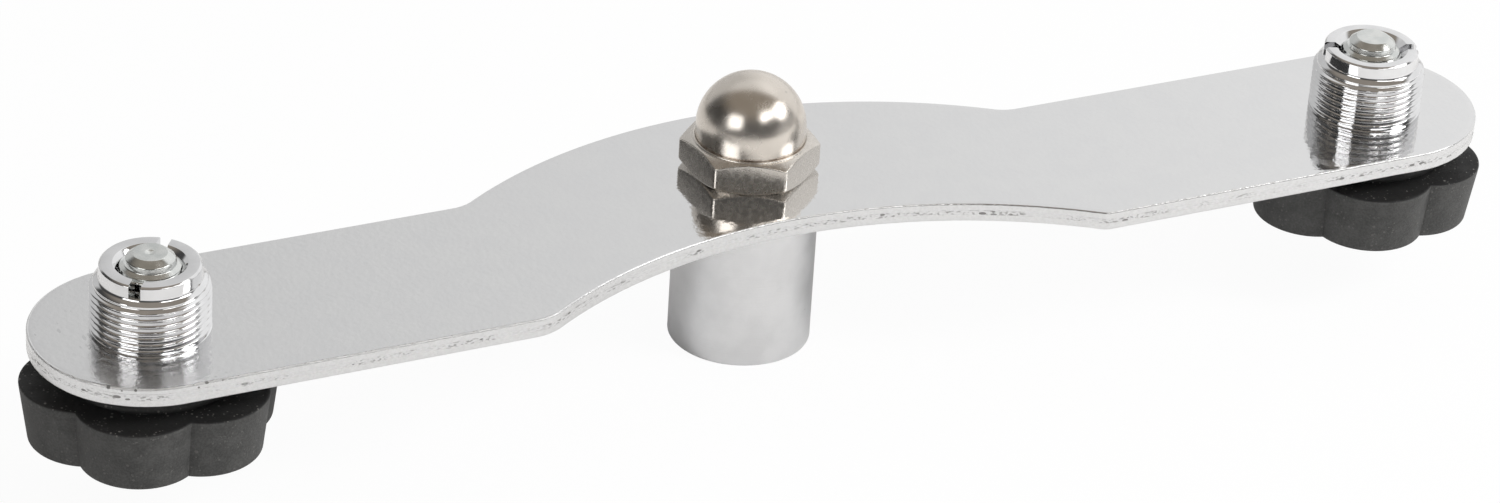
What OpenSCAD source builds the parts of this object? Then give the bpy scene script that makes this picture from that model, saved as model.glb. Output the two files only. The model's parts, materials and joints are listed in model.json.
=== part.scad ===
// Twin microphone bar: a bowed flat steel bar that carries two microphones on one stand.
// The origin is the centre of the stand socket's mouth, with +Z up the socket's axis, +X along
// the bar and +Y towards the side that the bar's middle bows out to. All sizes are in millimetres.

/* [Bar] */
// Distance between the axes of the two microphone sleeves
sleeve_spacing = 182; // [150:1:260]
// Width of the bar, all the way along
bar_width = 31; // [28:0.5:38]
// Thickness of the bar
bar_thickness = 2.7; // [2:0.1:5]
// How far the centres of the bar's round ends stand past the sleeves' axes
end_overhang = 0.5; // [0:0.1:3]
// How far the middle bows out from the line through the sleeves
bow_rise = 12.8; // [8:0.1:20]
// Radius of the bowed middle's two edges
bow_radius = 72.5; // [60:0.5:100]

/* [Stand adapter] */
// Outer diameter of the adapter
adapter_diameter = 20; // [19:0.5:26]
// Length of the adapter, from its mouth to the bar's underside
adapter_length = 23.6; // [20:0.1:34]
// Wall diameter of the socket for the stand's 5/8 inch thread
socket_diameter = 16; // [15.9:0.05:16.2]
// Depth of the socket
socket_depth = 15; // [10:0.5:16]

/* [Centre stud and cap nut] */
// Nominal diameter of the stud's thread
stud_diameter = 10; // [8:1:12]
// Length of the stud
stud_length = 20; // [18:0.5:21]
// How far the stud reaches into the dome, above the hexagon
stud_stand_out = 5; // [3:0.1:5.2]
// Hexagon socket in the stud's lower end, across its flats
stud_key_flats = 5; // [4:0.5:5.5]
// Depth of the stud's hexagon socket
stud_key_depth = 4; // [2:0.5:6]
// Hexagon of the nut, across its flats
nut_flats = 17; // [16:0.5:19]
// Height of the hexagon
nut_height = 4.7; // [4:0.1:6]
// Direction of one of the hexagon's corners
nut_corner_angle = 36; // [0:1:59]
// Outer radius of the nut's dome
dome_radius = 7.65; // [7.5:0.05:8]
// Height of the straight skirt under the dome
dome_skirt = 1.65; // [1:0.05:3]
// Sheet thickness of the dome
dome_wall = 1; // [0.8:0.1:1.2]

/* [Microphone sleeves] */
// Outer diameter of the 5/8 inch microphone thread
sleeve_thread_diameter = 15.875; // [15.7:0.005:15.9]
// Height of the full thread above the bar
sleeve_thread_height = 6.4; // [5:0.1:12]
// Height of the tapered lead-in over the thread
sleeve_taper_height = 1.1; // [0.6:0.1:2]
// Diameter of the plain neck at the top
sleeve_neck_diameter = 13.3; // [12.5:0.1:14]
// Height of the plain neck
sleeve_neck_height = 2; // [1.5:0.1:4]
// Width of the screwdriver slot across the neck
sleeve_slot_width = 1.6; // [1:0.1:2.4]
// Depth of the screwdriver slot
sleeve_slot_depth = 1.9; // [1:0.1:1.9]
// Direction of the left sleeve's slot
left_slot_angle = 53; // [-90:1:90]
// Direction of the right sleeve's slot
right_slot_angle = -22; // [-90:1:90]

/* [Knob bolts] */
// Nominal diameter of the bolts
bolt_diameter = 8; // [6:1:8]
// How far a tightened bolt stands out of its sleeve
bolt_stand_out = 1.5; // [0.5:0.1:4]
// Diameter of the flat on a bolt's end, inside its chamfer
bolt_end_flat = 4.6; // [3:0.1:5]
// Height of the chamfer on a bolt's end
bolt_end_chamfer = 1; // [0.5:0.1:2]
// Hexagon head of a bolt, across its flats
bolt_head_flats = 13; // [11:0.5:14]
// Height of a bolt's head
bolt_head_height = 5.3; // [4:0.1:5.5]

/* [Knobs and washers] */
// Number of lobes round a knob
lobe_count = 6; // [5:1:8]
// Radius from a knob's axis to the top of a lobe
knob_radius = 17.6; // [15:0.1:22]
// Radius of a lobe
lobe_radius = 8.5; // [7:0.1:8.5]
// Height of the lobed part
knob_height = 8.9; // [8:0.1:14]
// Radius of the round boss on a knob's upper face
boss_radius = 12; // [9:0.5:14]
// Height of the boss
boss_height = 2; // [1:0.1:5]
// Thickness of the floor under a bolt's head
knob_floor = 1.5; // [1:0.1:3]
// Thickness of the black washer between a knob and the bar
washer_thickness = 1.2; // [0.8:0.1:3]
// Turn of the left knob's lobes
left_knob_angle = 1; // [0:1:59]
// Turn of the right knob's lobes
right_knob_angle = 12; // [0:1:59]

/* [Clearances] */
// Radial gap in a threaded hole round its bolt or stud
thread_gap = 0.05; // [0.02:0.01:0.1]
// Radial gap in a plain hole round its bolt or stud
hole_gap = 0.4; // [0.2:0.05:0.8]

/* [Hidden] */
$fn = 96;

// Overshoot of a cutting tool, so that it leaves no skin
cut = 1;
// Chamfers on turned edges
edge = 0.4;

arm_y = -bow_rise;
half_width = bar_width / 2;
arm_end = sleeve_spacing / 2 + end_overhang;
bar_bottom = adapter_length;
bar_top = bar_bottom + bar_thickness;
outer_arc_y = half_width - bow_radius;
inner_arc_y = -half_width - bow_radius;

stud_radius = stud_diameter / 2;
dome_base = bar_top + nut_height;
stud_bottom = dome_base + stud_stand_out - stud_length;

bolt_radius = bolt_diameter / 2;
sleeve_height = sleeve_thread_height + sleeve_taper_height + sleeve_neck_height;
bolt_top = bar_top + sleeve_height + bolt_stand_out;
washer_bottom = bar_bottom - washer_thickness;
knob_top = washer_bottom - boss_height;
knob_bottom = knob_top - knob_height;
bolt_head_bottom = knob_bottom + knob_floor;
lobe_centre_radius = knob_radius - lobe_radius;

// Radius over the corners of a hexagon that is flats wide
function corner_radius(flats) = flats / 2 / cos(30);

// Two straight arms with round ends, and a middle between two equal arcs
module bar_outline() {
    difference() {
        union() {
            translate([-arm_end, arm_y - half_width]) square([2 * arm_end, bar_width]);
            intersection() {
                translate([0, outer_arc_y]) circle(bow_radius);
                translate([-bow_radius, arm_y]) square(2 * bow_radius);
            }
            for (side = [-1, 1]) translate([side * arm_end, arm_y]) circle(half_width);
        }
        translate([0, inner_arc_y]) circle(bow_radius);
    }
}

// Blanked from flat bar, with one hole for the stud and one for each knob bolt
module bar() {
    color("gainsboro") difference() {
        translate([0, 0, bar_bottom]) linear_extrude(bar_thickness) bar_outline();
        translate([0, 0, bar_bottom - cut])
            cylinder(r = stud_radius + hole_gap, h = bar_thickness + 2 * cut);
        for (side = [-1, 1]) translate([side * sleeve_spacing / 2, arm_y, bar_bottom - cut])
            cylinder(r = bolt_radius + hole_gap, h = bar_thickness + 2 * cut);
    }
}

// Turned socket for the stand's thread, with a tapped end wall for the stud
module stand_adapter() {
    radius = adapter_diameter / 2;
    color("silver") difference() {
        union() {
            cylinder(r = radius, h = adapter_length - edge);
            translate([0, 0, adapter_length - edge]) cylinder(r1 = radius, r2 = radius - edge, h = edge);
        }
        translate([0, 0, -cut]) cylinder(r = socket_diameter / 2, h = socket_depth + cut);
        cylinder(r = stud_radius + thread_gap, h = adapter_length + cut);
    }
}

// Headless screw that joins the adapter, the bar and the cap nut
module centre_stud() {
    color("dimgray") translate([0, 0, stud_bottom]) difference() {
        union() {
            cylinder(r1 = stud_radius - 2 * edge, r2 = stud_radius, h = 2 * edge);
            translate([0, 0, 2 * edge]) cylinder(r = stud_radius, h = stud_length - 4 * edge);
            translate([0, 0, stud_length - 2 * edge])
                cylinder(r1 = stud_radius, r2 = stud_radius - 2 * edge, h = 2 * edge);
        }
        translate([0, 0, -cut])
            cylinder(r = corner_radius(stud_key_flats), h = stud_key_depth + cut, $fn = 6);
    }
}

// A hexagon whose corners are turned off at both faces, at 30 degrees
module chamfered_hexagon(flats, height) {
    corner = corner_radius(flats);
    face = flats / 2 - edge / 2;
    slope = (corner + cut - face) * tan(30);
    intersection() {
        cylinder(r = corner, h = height, $fn = 6);
        union() {
            cylinder(r1 = face, r2 = corner + cut, h = slope);
            translate([0, 0, slope]) cylinder(r = corner + cut, h = height - 2 * slope);
            translate([0, 0, height - slope]) cylinder(r1 = corner + cut, r2 = face, h = slope);
        }
    }
}

// Low hexagon half of the two-piece cap nut
module cap_nut_hex() {
    color("silver") translate([0, 0, bar_top]) difference() {
        rotate(nut_corner_angle) chamfered_hexagon(nut_flats, nut_height);
        translate([0, 0, -cut]) cylinder(r = stud_radius + thread_gap, h = nut_height + 2 * cut);
    }
}

// Pressed dome that closes the top of the nut
module cap_nut_dome() {
    inner = dome_radius - dome_wall;
    color("lightgray") translate([0, 0, dome_base]) difference() {
        union() {
            cylinder(r = dome_radius, h = dome_skirt);
            translate([0, 0, dome_skirt]) sphere(dome_radius);
        }
        translate([0, 0, -cut]) cylinder(r = inner, h = dome_skirt + cut);
        translate([0, 0, dome_skirt]) sphere(inner);
        translate([0, 0, -2 * dome_radius]) cylinder(r = 2 * dome_radius, h = 2 * dome_radius);
    }
}

// Moves its children to the foot of a sleeve. side is -1 for the left one and 1 for the right one
module at_arm_end(side, z) {
    translate([side * sleeve_spacing / 2, arm_y, z]) children();
}

// Sleeve with the microphone thread outside and the bolt's thread inside
module threaded_sleeve(side, slot_angle) {
    thread_radius = sleeve_thread_diameter / 2;
    neck_radius = sleeve_neck_diameter / 2;
    neck_base = sleeve_thread_height + sleeve_taper_height;
    bore_radius = bolt_radius + thread_gap;
    mouth = 2 * edge;
    color("gainsboro") at_arm_end(side, bar_top) difference() {
        union() {
            cylinder(r = thread_radius, h = sleeve_thread_height);
            translate([0, 0, sleeve_thread_height])
                cylinder(r1 = thread_radius, r2 = neck_radius, h = sleeve_taper_height);
            translate([0, 0, neck_base]) cylinder(r = neck_radius, h = sleeve_neck_height);
        }
        translate([0, 0, -cut]) cylinder(r = bore_radius, h = sleeve_height + 2 * cut);
        translate([0, 0, sleeve_height - mouth])
            cylinder(r1 = bore_radius, r2 = bore_radius + 2 * mouth, h = 2 * mouth);
        rotate(slot_angle)
            translate([-thread_radius, -sleeve_slot_width / 2, sleeve_height - sleeve_slot_depth])
                cube([2 * thread_radius, sleeve_slot_width, sleeve_slot_depth + cut]);
    }
}

// Thin washer that takes the knob's turning off the bar's plating
module washer(side) {
    color("black") at_arm_end(side, washer_bottom) difference() {
        cylinder(r = boss_radius, h = washer_thickness);
        translate([0, 0, -cut])
            cylinder(r = bolt_radius + hole_gap, h = washer_thickness + 2 * cut);
    }
}

module knob_outline(angle) {
    for (i = [0 : lobe_count - 1]) rotate(angle + i * 360 / lobe_count)
        translate([lobe_centre_radius, 0]) circle(lobe_radius);
    circle(boss_radius);
}

// Moulded lobed knob, with a boss on its upper face, round the head of its bolt
module knob(side, angle) {
    color("dimgray") difference() {
        at_arm_end(side, knob_bottom) {
            linear_extrude(knob_height) knob_outline(angle);
            cylinder(r = boss_radius, h = knob_height + boss_height);
        }
        at_arm_end(side, bolt_head_bottom) {
            cylinder(r = bolt_radius, h = knob_height + boss_height);
            cylinder(r = corner_radius(bolt_head_flats), h = bolt_head_height, $fn = 6);
        }
    }
}

// Hexagon bolt that is moulded into the knob and screws up into the sleeve
module knob_bolt(side) {
    end_chamfer_base = bolt_top - bolt_head_bottom - bolt_end_chamfer;
    color("lightsteelblue") at_arm_end(side, bolt_head_bottom) {
        cylinder(r = corner_radius(bolt_head_flats), h = bolt_head_height, $fn = 6);
        cylinder(r = bolt_radius, h = end_chamfer_base);
        translate([0, 0, end_chamfer_base])
            cylinder(r1 = bolt_radius, r2 = bolt_end_flat / 2, h = bolt_end_chamfer);
    }
}

bar();
stand_adapter();
centre_stud();
cap_nut_hex();
cap_nut_dome();
threaded_sleeve(-1, left_slot_angle);  // left_sleeve
threaded_sleeve(1, right_slot_angle);  // right_sleeve
washer(-1);  // left_washer
washer(1);  // right_washer
knob(-1, left_knob_angle);  // left_knob
knob(1, right_knob_angle);  // right_knob
knob_bolt(-1);  // left_knob_bolt
knob_bolt(1);  // right_knob_bolt
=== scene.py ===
import json
import math

import bmesh
import bpy
from mathutils import Matrix, Vector
from mathutils.geometry import delaunay_2d_cdt


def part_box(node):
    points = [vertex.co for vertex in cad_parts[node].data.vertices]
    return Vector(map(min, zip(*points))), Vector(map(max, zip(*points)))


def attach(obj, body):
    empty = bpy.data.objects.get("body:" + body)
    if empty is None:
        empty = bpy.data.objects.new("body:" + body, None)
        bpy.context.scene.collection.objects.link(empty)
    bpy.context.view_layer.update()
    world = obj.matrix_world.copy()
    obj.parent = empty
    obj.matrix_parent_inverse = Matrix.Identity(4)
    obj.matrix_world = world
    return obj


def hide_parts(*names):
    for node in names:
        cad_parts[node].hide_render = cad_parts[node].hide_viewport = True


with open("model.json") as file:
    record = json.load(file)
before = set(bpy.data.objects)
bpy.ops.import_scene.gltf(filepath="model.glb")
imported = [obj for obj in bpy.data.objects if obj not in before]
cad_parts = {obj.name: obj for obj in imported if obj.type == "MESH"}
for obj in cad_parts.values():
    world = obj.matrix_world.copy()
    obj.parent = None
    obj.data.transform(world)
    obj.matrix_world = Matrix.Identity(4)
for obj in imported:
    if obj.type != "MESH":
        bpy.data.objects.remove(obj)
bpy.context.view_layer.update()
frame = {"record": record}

MM = 0.001
scene = bpy.context.scene

# ---------------------------------------------------------------- Camera
# A long lens stands in front of the bar, a little to the left, and looks down on it. It is
# leant over slightly, so that the bar climbs to the right across a wide, low picture.

LENS = 123.5
SENSOR_WIDTH = 36.0
CAMERA_PLACE = Vector((-276.3, -553.9, 372.9)) * MM
CAMERA_AZIMUTH = -26.6
CAMERA_ELEVATION = 30.2
CAMERA_LEAN = 3.66


def stood(name, data):
    """A new object of the scene, at the origin."""
    made = bpy.data.objects.new(name, data)
    scene.collection.objects.link(made)
    return made


def camera_turn(azimuth, elevation, lean):
    """Rotation of a camera that looks at the object from that side and height."""
    a, e = math.radians(azimuth), math.radians(elevation)
    back = Vector((math.sin(a) * math.cos(e), -math.cos(a) * math.cos(e), math.sin(e)))
    level = back.to_track_quat("Z", "Y").to_matrix()
    return (level @ Matrix.Rotation(math.radians(lean), 3, "Z")).to_4x4()


camera_data = bpy.data.cameras.new("product_camera")
camera_data.lens = LENS
camera_data.sensor_width = SENSOR_WIDTH
camera_data.clip_start = 0.01
camera = stood("product_camera", camera_data)
turned_camera = camera_turn(CAMERA_AZIMUTH, CAMERA_ELEVATION, CAMERA_LEAN)
camera.matrix_world = Matrix.Translation(CAMERA_PLACE) @ turned_camera
scene.camera = camera

# ---------------------------------------------------------------- Studio
# A pale table runs on without a horizon. A white paper sweep behind the object lights it from
# the far side, the room on the camera's side is dim, and soft boxes stand in that room.

FLOOR_HALF = 6.0
FLOOR_COLOUR = (0.7, 0.7, 0.7, 1)
FLOOR_SHADE = 0.05
FLOOR_DROP = 0.05 * MM
FLOOR_GLOW = 0.05
FLOOR_ROUGHNESS = 0.9
FLOOR_SPECULAR = 0.1
SWEEP_AZIMUTH = 58
SWEEP_ELEVATION = 13
SWEEP_EDGE = (0.4, 0.56)
SWEEP_ACROSS = (0.2, 0.55)
SWEEP_SHADES = (0.60, 0.93)
SWEEP_TOP = (0.6, 0.8)
SWEEP_TOP_GAIN = 0.18
ROOM_LEFT = (0.05, 0.05, 0.05, 1)
ROOM_FRONT = (0.1, 0.1, 0.1, 1)
ROOM_HIGH = (0.29, 0.26, 0.225, 1)
ROOM_LOW = (0.5, 0.5, 0.5, 1)
ROOM_ACROSS = (-0.1, -0.8)
ROOM_UP = (0.45, 0.85)
WALL_TOPS = (0.1, 0.36)
WALLS_ACROSS = (0.2, 0.8)
LEFT_WALL_SHARE = 0.12
BACKDROP = (1.0, 1.0, 1.0, 1)


def node(tree, kind, sockets=None, **settings):
    """Adds a node. sockets maps a socket's name or number to a value or to the socket it comes from."""
    made = tree.nodes.new(kind)
    for name, value in settings.items():
        setattr(made, name, value)
    for key, value in (sockets or {}).items():
        socket = made.inputs[key]
        if isinstance(value, bpy.types.NodeSocket):
            tree.links.new(value, socket)
        else:
            socket.default_value = value
    return made


def maths(tree, operation, *values):
    """One arithmetic node, as its output socket."""
    return node(tree, "ShaderNodeMath", dict(enumerate(values)), operation=operation).outputs[0]


def times(tree, total, *factors):
    """The product of two or more values, as a socket."""
    for factor in factors:
        total = maths(tree, "MULTIPLY", total, factor)
    return total


def plus(tree, total, *terms):
    """The sum of two or more values, as a socket."""
    for term in terms:
        total = maths(tree, "ADD", total, term)
    return total


def remap(tree, value, low, high, to_low=0.0, to_high=1.0, kind="SMOOTHSTEP"):
    """A value carried from one range to another, clamped, as a socket."""
    sockets = {"Value": value, "From Min": low, "From Max": high, "To Min": to_low, "To Max": to_high}
    return node(tree, "ShaderNodeMapRange", sockets, interpolation_type=kind).outputs[0]


def vector_maths(tree, operation, *values, result="Vector"):
    """One vector arithmetic node, as its output socket."""
    sockets = dict(enumerate(values))
    return node(tree, "ShaderNodeVectorMath", sockets, operation=operation).outputs[result]


def parts(tree, vector):
    """The three parts of a vector, as sockets."""
    return node(tree, "ShaderNodeSeparateXYZ", {0: vector}).outputs


def spread(tree, share, low, high):
    """A share from 0 to 1 carried to a range of values, as a socket."""
    return remap(tree, share, 0.0, 1.0, low, high)


def blend_colour(tree, share, first, second):
    """Two colours mixed by a share, as a socket."""
    return node(tree, "ShaderNodeMix", {0: share, 6: first, 7: second}, data_type="RGBA").outputs[2]


def way_to(azimuth, elevation):
    """Unit vector at an azimuth from +X towards +Y, and an elevation."""
    a, e = math.radians(azimuth), math.radians(elevation)
    return Vector((math.cos(a) * math.cos(e), math.sin(a) * math.cos(e), math.sin(e)))


def studio_world():
    world = bpy.data.worlds.new("studio")
    world.use_nodes = True
    tree = world.node_tree
    tree.nodes.clear()
    way = node(tree, "ShaderNodeTexCoord").outputs["Generated"]
    split = parts(tree, way)
    sweep_way = way_to(SWEEP_AZIMUTH, SWEEP_ELEVATION)
    facing = vector_maths(tree, "DOT_PRODUCT", way, sweep_way, result="Value")
    share = remap(tree, facing, *SWEEP_EDGE)
    # The sweep is whiter towards its right-hand end, where the larger soft box lights it
    grey = remap(tree, split[0], *SWEEP_ACROSS, *SWEEP_SHADES, "LINEAR")
    grey = plus(tree, grey, remap(tree, split[2], *SWEEP_TOP, 0.0, SWEEP_TOP_GAIN))
    sweep = node(tree, "ShaderNodeCombineColor", {0: grey, 1: grey, 2: grey}).outputs[0]
    left = remap(tree, split[0], *ROOM_ACROSS)
    low_room = blend_colour(tree, left, ROOM_FRONT, ROOM_LEFT)
    # Pale walls stand round the table, up to a little over its height, mostly on its right
    on_walls = remap(tree, split[2], *WALL_TOPS, 1.0, 0.0)
    pale = times(tree, on_walls, remap(tree, split[0], *WALLS_ACROSS, LEFT_WALL_SHARE, 1.0))
    low_room = blend_colour(tree, pale, low_room, ROOM_LOW)
    room = blend_colour(tree, remap(tree, split[2], *ROOM_UP), low_room, ROOM_HIGH)
    colour = blend_colour(tree, share, room, sweep)
    seen = node(tree, "ShaderNodeLightPath").outputs["Is Camera Ray"]
    colour = blend_colour(tree, seen, colour, BACKDROP)
    light = node(tree, "ShaderNodeBackground", {"Color": colour})
    node(tree, "ShaderNodeOutputWorld", {0: light.outputs[0]})
    scene.world = world


def soft_box(name, azimuth, elevation, distance, size, radiance, lean=0, shape="RECTANGLE"):
    """A flat light that faces the object, leant over by some degrees in its own plane."""
    width, height = size
    way = way_to(azimuth, elevation)
    data = bpy.data.lights.new(name, "AREA")
    data.shape = shape
    data.size, data.size_y = width, height
    data.energy = radiance * math.pi * width * height
    lamp = stood(name, data)
    facing = way.to_track_quat("Z", "Y").to_matrix().to_4x4()
    leant = Matrix.Rotation(math.radians(lean), 4, "Z")
    lamp.matrix_world = Matrix.Translation(way * distance) @ facing @ leant
    lamp.visible_camera = False
    return lamp


def pale_floor():
    data = bpy.data.meshes.new("table_top")
    h, z = FLOOR_HALF, -FLOOR_DROP
    data.from_pydata([(-h, -h, z), (h, -h, z), (h, h, z), (-h, h, z)], [], [(0, 1, 2, 3)])
    floor = stood("table_top", data)
    paint = bpy.data.materials.new("pale_table")
    paint.use_nodes = True
    tree = paint.node_tree
    shader = tree.nodes["Principled BSDF"]
    shader.inputs["Base Color"].default_value = FLOOR_COLOUR
    shader.inputs["Roughness"].default_value = FLOOR_ROUGHNESS
    shader.inputs["Specular IOR Level"].default_value = FLOOR_SPECULAR
    # The table is lit from below too, so what stands on it throws only a trace of shadow
    shader.inputs["Emission Color"].default_value = BACKDROP
    shader.inputs["Emission Strength"].default_value = FLOOR_GLOW
    glow = node(tree, "ShaderNodeEmission", {"Color": BACKDROP}).outputs[0]
    seen = node(tree, "ShaderNodeLightPath").outputs["Is Camera Ray"]
    share = times(tree, seen, 1 - FLOOR_SHADE)
    mixed = node(tree, "ShaderNodeMixShader", {0: share, 1: shader.outputs[0], 2: glow}).outputs[0]
    tree.links.new(mixed, tree.nodes["Material Output"].inputs[0])
    data.materials.append(paint)


studio_world()
soft_box("left_soft_box", -154.5, 29, 1.1, size=(0.56, 0.48), radiance=2.4, lean=12)
OVALS = {
    "right_soft_box": (-30, 36, 1.0, (0.54, 0.42), 2.7),
    "middle_soft_box": (-54, 43, 1.02, (0.4, 0.24), 1.3),
    "front_soft_box": (-77, 44, 1.0, (0.42, 0.27), 2.5),
}
for name, stand in OVALS.items():
    soft_box(name, *stand, lean=20, shape="ELLIPSE")
# A wide fill from above and a smaller key from the right, which polished metal doesn't mirror
fill = soft_box("overhead_fill", 60, 80, 1.5, size=(1.6, 1.6), radiance=0.35)
fill.visible_glossy = False
key = soft_box("right_key", -42, 42, 1.2, size=(0.35, 0.35), radiance=24)
key.visible_glossy = False
pale_floor()
scene.view_settings.view_transform = "Standard"

# ---------------------------------------------------------------- Stand adapter
# The socket that screws on a microphone stand: a plain cylinder of light metal, turned from bar,
# parted off square and left satin, with its mouth broken and a fine thread cut inside.

STAND_AXIS = Vector((0, 0, 0))
MICROPHONE_PITCH = 25.4 * MM / 27
MICROPHONE_THREAD_DEPTH = 0.4 * MM
ROWS_A_TURN = 16
ARC_STEPS = 4
GROOVE_POWER = 0.85
# Points nearer to each other than this are one
TOUCH = 0.001 * MM


def rounded(corners, steps=ARC_STEPS):
    """An outline of (radius, height) points. A corner with a third value is rounded by about that."""
    points = []
    for i, corner in enumerate(corners):
        here = Vector(corner[:2])
        if len(corner) < 3:
            points.append(tuple(here))
            continue
        ends = []
        for other in (corners[i - 1], corners[(i + 1) % len(corners)]):
            away = Vector(other[:2]) - here
            ends.append(here + away.normalized() * min(corner[2], away.length * 0.5))
        for k in range(steps + 1):
            t = k / steps
            points.append(tuple((1 - t) ** 2 * ends[0] + 2 * t * (1 - t) * here + t * t * ends[1]))
    return points


def threaded_wall(radius, start, end, pitch):
    """Outline points up or down a wall, close enough together to carry a thread."""
    rows = max(2, round(abs(end - start) / pitch * ROWS_A_TURN))
    return [(radius, start + (end - start) * k / rows) for k in range(rows + 1)]


def thread_share(radius, height, thread):
    """How far a thread is cut at a point: all of it on its wall, run out over its two ends."""
    nearest, farthest, low, high, low_fade, high_fade = thread
    on_wall = nearest - TOUCH <= radius <= farthest + TOUCH
    if not (on_wall and low - TOUCH <= height <= high + TOUCH):
        return 0.0
    return max(0.0, min(1.0, (height - low) / low_fade, (high - height) / high_fade))


def even_angles(count, first=0.0):
    return [first + 2 * math.pi * i / count for i in range(count)]


def mark_points(made, name, values):
    """Gives each point of a piece a value, for a tree to read."""
    mark = made.data.attributes.new(name, "FLOAT", "POINT")
    mark.data.foreach_set("value", values)


def turned(name, outline, axis, angles=192, threads=(), closed=True):
    """A mesh turned round an upright axis. The outline is a list of (radius, height), or gives one
    for an angle. It runs anticlockwise, with its radius to the right. A closed one is a ring, and
    an open one starts and ends on the axis. Points on the threads' walls are marked for the tree."""
    angles = even_angles(angles) if isinstance(angles, int) else angles
    points, cells, weights = [], [], []
    for a in angles:
        ring = outline(a) if callable(outline) else outline
        ends = ring[0], ring[-1]
        for radius, height in ring if closed else ring[1:-1]:
            points.append((axis.x + radius * math.cos(a), axis.y + radius * math.sin(a), height))
            weights.append(max([thread_share(radius, height, t) for t in threads], default=0.0))
    n = len(points) // len(angles)
    for i in range(len(angles)):
        here, there = i * n, (i + 1) % len(angles) * n
        for j in range(n if closed else n - 1):
            k = (j + 1) % n
            cells.append((here + j, there + j, there + k, here + k))
        if not closed:
            cells.append((len(points), there, here))
            cells.append((len(points) + 1, here + n - 1, there + n - 1))
    if not closed:
        points += [(axis.x, axis.y, end[1]) for end in ends]
        weights += [0.0, 0.0]
    data = bpy.data.meshes.new(name)
    data.from_pydata(points, [], cells)
    made = stood(name, data)
    mark_points(made, "on_thread", weights)
    return made


def group_socket(tree, name, kind, way="INPUT", value=None):
    made = tree.interface.new_socket(name, in_out=way, socket_type=kind)
    if value is not None:
        made.default_value = value


def along(tree, vector, length):
    """A vector times a length, as a socket."""
    sockets = {0: vector, "Scale": length}
    return node(tree, "ShaderNodeVectorMath", sockets, operation="SCALE").outputs[0]


def shape_tree(name, **inputs):
    """A geometry tree that moves the points of a piece about its axis: (tree, its inputs, the way
    out from the axis, the distance from it, the angle in turns, and the height)."""
    tree = bpy.data.node_groups.new(name, "GeometryNodeTree")
    group_socket(tree, "Geometry", "NodeSocketGeometry")
    group_socket(tree, "Geometry", "NodeSocketGeometry", "OUTPUT")
    group_socket(tree, "Axis", "NodeSocketVector")
    group_socket(tree, "Finish", "NodeSocketMaterial")
    for title, value in inputs.items():
        group_socket(tree, title.replace("_", " "), "NodeSocketFloat", value=value)
    given = node(tree, "NodeGroupInput").outputs
    place = node(tree, "GeometryNodeInputPosition").outputs[0]
    part = parts(tree, vector_maths(tree, "SUBTRACT", place, given["Axis"]))
    flat = node(tree, "ShaderNodeCombineXYZ", {0: part[0], 1: part[1]}).outputs[0]
    out = vector_maths(tree, "NORMALIZE", flat)
    far = vector_maths(tree, "LENGTH", flat, result="Value")
    turn = maths(tree, "DIVIDE", maths(tree, "ARCTAN2", part[1], part[0]), 2 * math.pi)
    return tree, given, out, far, turn, part[2]


def close_tree(tree, given, offset):
    """Ends a shape tree: moves the points, then gives the piece its finish."""
    sockets = {"Geometry": given["Geometry"], "Offset": offset}
    moved = node(tree, "GeometryNodeSetPosition", sockets).outputs[0]
    real = node(tree, "GeometryNodeRealizeInstances", {0: moved}).outputs[0]
    sockets = {"Geometry": real, "Material": given["Finish"]}
    node(tree, "NodeGroupOutput", {0: node(tree, "GeometryNodeSetMaterial", sockets).outputs[0]})


def point_mark(tree, name):
    """The value that marks each point, as a socket."""
    return node(tree, "GeometryNodeInputNamedAttribute", {0: name}, data_type="FLOAT").outputs[0]


def thread_tree():
    """Cuts a right-hand thread with round crests into the marked wall of a turned piece."""
    tree, given, out, far, turn, height = shape_tree("Screw thread", Pitch=MM, Depth=0.5 * MM)
    phase = maths(tree, "SUBTRACT", maths(tree, "DIVIDE", height, given["Pitch"]), turn)
    wave = maths(tree, "COSINE", times(tree, phase, 2 * math.pi))
    valley = maths(tree, "SUBTRACT", 0.5, times(tree, wave, 0.5))
    groove = maths(tree, "POWER", valley, GROOVE_POWER)
    marked = point_mark(tree, "on_thread")
    deep = times(tree, groove, given["Depth"], marked)
    close_tree(tree, given, along(tree, out, times(tree, deep, -1.0)))
    return tree


def settle(made):
    """Turns a piece's modifiers into its plain mesh."""
    bpy.context.view_layer.update()
    shaped = made.evaluated_get(bpy.context.evaluated_depsgraph_get())
    plain = bpy.data.meshes.new_from_object(shaped)
    made.modifiers.clear()
    made.data = plain


def grow(made, tree, **inputs):
    """Runs a geometry tree on a piece and keeps the result."""
    step = made.modifiers.new(tree.name, "NODES")
    step.node_group = tree
    names = {s.name: s.identifier for s in tree.interface.items_tree if s.in_out == "INPUT"}
    for name, value in inputs.items():
        step[names[name]] = value
    settle(made)


def put_in_place(made, body, cad_node, sharp=35):
    """Smooths a piece up to its real edges, and lets it ride in place of its plain solid."""
    made.data.shade_smooth()
    made.data.set_sharp_from_angle(angle=math.radians(sharp))
    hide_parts(cad_node)
    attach(made, body)


def new_material(name, metallic=1.0):
    """A material, as (material, tree, shader, object coordinates)."""
    made = bpy.data.materials.new(name)
    made.use_nodes = True
    tree = made.node_tree
    shader = tree.nodes["Principled BSDF"]
    shader.inputs["Metallic"].default_value = metallic
    return made, tree, shader, node(tree, "ShaderNodeTexCoord").outputs["Object"]


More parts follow.
